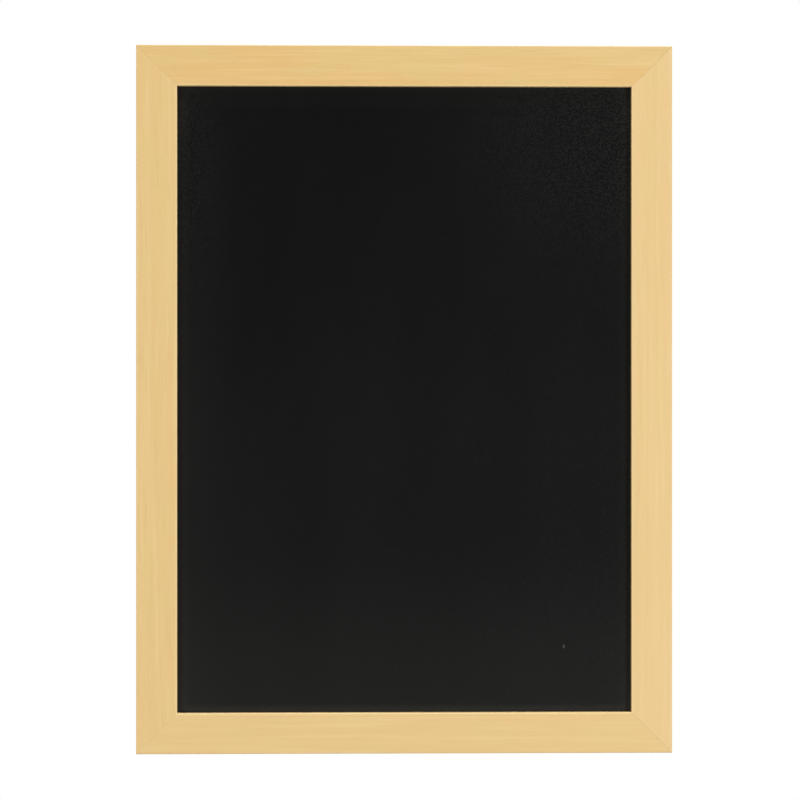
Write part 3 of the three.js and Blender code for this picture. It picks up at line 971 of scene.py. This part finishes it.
HEAD_RADIUS = 0.003
HEAD_RIM = 0.0006
HEAD_HEIGHT = 0.0021
HEAD_FULLNESS = 0.7
HEAD_POINTS = 9
CORE = 0.00105
SHANK = 0.0015
GIMLET = 0.003
THREAD_PITCH = 0.0013
THREAD_TURNS = 4
THREAD_FOOT = 0.0003
THREAD_SINK = 0.0001
THREAD_STEPS = 24
RECESS_LENGTH = 0.0032
RECESS_WIDTH = 0.0009
RECESS_DEPTH = 0.0012
RECESS_TAPER = 0.6
RECESS_TURN = 0.3
TURNED_STEPS = 48


def turned(profile, centre):
    """Spins a line of (radius, y) places about a Y axis through the centre."""
    bm = bmesh.new()
    line = [bm.verts.new(centre + Vector((radius, y, 0))) for radius, y in profile]
    edges = [bm.edges.new(pair) for pair in zip(line, line[1:])]
    bmesh.ops.spin(
        bm,
        geom=[*line, *edges],
        cent=centre,
        axis=(0, 1, 0),
        angle=2 * math.pi,
        steps=TURNED_STEPS,
        use_merge=True,
    )
    bmesh.ops.remove_doubles(bm, verts=bm.verts, dist=NUDGE)
    return bm


def quarter_turn(points):
    """Evenly spaced angles from 0 to 90 degrees, both included."""
    return [math.pi / 2 * i / (points - 1) for i in range(points)]


def thread(centre, start_y):
    """A closed spiral ridge with its foot sunk into the core, its crest as wide as the shank."""
    bm = bmesh.new()
    start = centre + Vector((0, start_y, 0))
    foot = CORE - THREAD_SINK
    corners = ((foot, -THREAD_FOOT), (SHANK, 0), (foot, THREAD_FOOT))
    section = bm.faces.new([bm.verts.new(start + Vector((x, y, 0))) for x, y in corners])
    bmesh.ops.spin(
        bm,
        geom=[section],
        cent=centre,
        axis=(0, 1, 0),
        dvec=(0, THREAD_PITCH / THREAD_STEPS, 0),
        angle=THREAD_TURNS * 2 * math.pi,
        steps=THREAD_TURNS * THREAD_STEPS,
    )
    between_edges = Matrix.Rotation(math.pi / TURNED_STEPS, 3, "Y")
    bmesh.ops.rotate(bm, cent=centre, matrix=between_edges, verts=bm.verts)
    return bm


def cross_recess(top):
    """Two crossed wings that taper downwards from the top of a head."""
    bm = bmesh.new()
    for turn in (0, math.pi / 2):
        wing = bmesh.ops.create_cube(bm, size=1)["verts"]
        bmesh.ops.scale(bm, vec=(RECESS_LENGTH, 2 * RECESS_DEPTH, RECESS_WIDTH), verts=wing)
        low_end = [vert for vert in wing if vert.co.y < 0]
        bmesh.ops.scale(bm, vec=(RECESS_TAPER, 1, RECESS_TAPER), verts=low_end)
        matrix = Matrix.Rotation(turn + RECESS_TURN, 3, "Y")
        bmesh.ops.rotate(bm, cent=(0, 0, 0), matrix=matrix, verts=wing)
    bmesh.ops.translate(bm, vec=top, verts=bm.verts)
    return bm


seat = back_y + 2 * (STRAP_THICKNESS + LEAF_GAP) + LEAF_GAP
crown = seat + HEAD_RIM
dome = HEAD_HEIGHT - HEAD_RIM
for across in ("left", "right"):
    eye = hinge_of[f"{across}_ring_swing"]
    centre = Vector((eye.x, 0, eye.z - SCREW_BELOW_EYE))
    tip_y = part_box(f"hanger_screw_{across}")[0].y
    profile = [
        (0, tip_y),
        (CORE, tip_y + GIMLET),
        (CORE, seat - SHANK),
        (SHANK, seat - CORE),
        (SHANK, seat),
        (HEAD_RADIUS - HEAD_RIM / 5, seat),
        (HEAD_RADIUS, seat + HEAD_RIM / 4),
        *(
            (HEAD_RADIUS * math.cos(angle) ** HEAD_FULLNESS, crown + dome * math.sin(angle))
            for angle in quarter_turn(HEAD_POINTS)[:-1]
        ),
        (0, crown + dome),
    ]
    screw = new_piece(turned(profile, centre), f"hanger_screw_{across}_turned", [plated_steel])
    top = centre + Vector((0, crown + dome, 0))
    recess = new_piece(cross_recess(top), "recess", [plated_steel])
    combine(screw, recess, "DIFFERENCE")
    bpy.data.objects.remove(recess)
    ridge = new_piece(thread(centre, tip_y + GIMLET), "thread", [plated_steel])
    combine(screw, ridge, "UNION")
    bpy.data.objects.remove(ridge)
    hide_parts(f"hanger_screw_{across}")
    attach(screw, "board")


# Wall bumpers
# Black rubber domes with a flat top, stuck to the bottom rail's back on discs of thin foam
# tape. They hold the board's foot as far off the wall as the rings hold its head.

BUMPER_FLAT = 0.0024
BUMPER_POINTS = 15
TAPE_THICKNESS = 0.0003
TAPE_SHARE = 0.97
FOOT_SHARE = 0.99
RIM_SHARE = 0.08

RUBBER_BLACK = (0.012, 0.012, 0.013, 1)
RUBBER_BLOOM = (0.035, 0.034, 0.034, 1)
FOAM_CELL = (0.55, 0.54, 0.5, 1)
FOAM_SKIN = (0.72, 0.71, 0.67, 1)


def rubber():
    """Moulded black rubber: matt, very finely pitted, with a little grey bloom."""
    material, shader, place = new_material("black_rubber")
    pits = place.noise(3500, detail=2)
    bloom = place.noise(200, detail=4, roughness=0.65).step(0.45, 0.75)
    feed(
        shader,
        Base_Color=bloom.blend(RUBBER_BLACK, RUBBER_BLOOM),
        Roughness=0.62 + bloom * 0.2,
        Normal=bumped(pits, 0.00003),
    )
    return material


def foam():
    """Off-white foam tape with small cells."""
    material, shader, place = new_material("foam_tape")
    cells = place.noise(5000, detail=2).step(0.45, 0.6)
    feed(
        shader,
        Base_Color=cells.blend(FOAM_CELL, FOAM_SKIN),
        Roughness=0.85,
        Normal=bumped(cells, 0.00003),
    )
    return material


black_rubber = rubber()
foam_tape = foam()
tape_foot = back_y + LEAF_GAP
base = back_y + TAPE_THICKNESS
for across in ("left", "right"):
    low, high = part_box(f"wall_bumper_{across}")
    radius = (high.x - low.x) / 2
    centre = Vector(((low.x + high.x) / 2, 0, (low.z + high.z) / 2))
    side = radius - BUMPER_FLAT
    rise = high.y - base
    profile = [
        (0, tape_foot),
        (radius * TAPE_SHARE, tape_foot),
        (radius * TAPE_SHARE, base),
        (radius * FOOT_SHARE, base),
        *(
            (
                BUMPER_FLAT + side * math.cos(angle),
                base + rise * (RIM_SHARE + (1 - RIM_SHARE) * math.sin(angle)),
            )
            for angle in quarter_turn(BUMPER_POINTS)
        ),
        (0, high.y),
    ]
    bm = turned(profile, centre)
    bm.normal_update()
    for face in bm.faces:
        face.material_index = int(face.calc_center_median().y < base - NUDGE)
    bumper = new_piece(bm, f"wall_bumper_{across}_moulded", [black_rubber, foam_tape])
    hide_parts(f"wall_bumper_{across}")
    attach(bumper, "board")
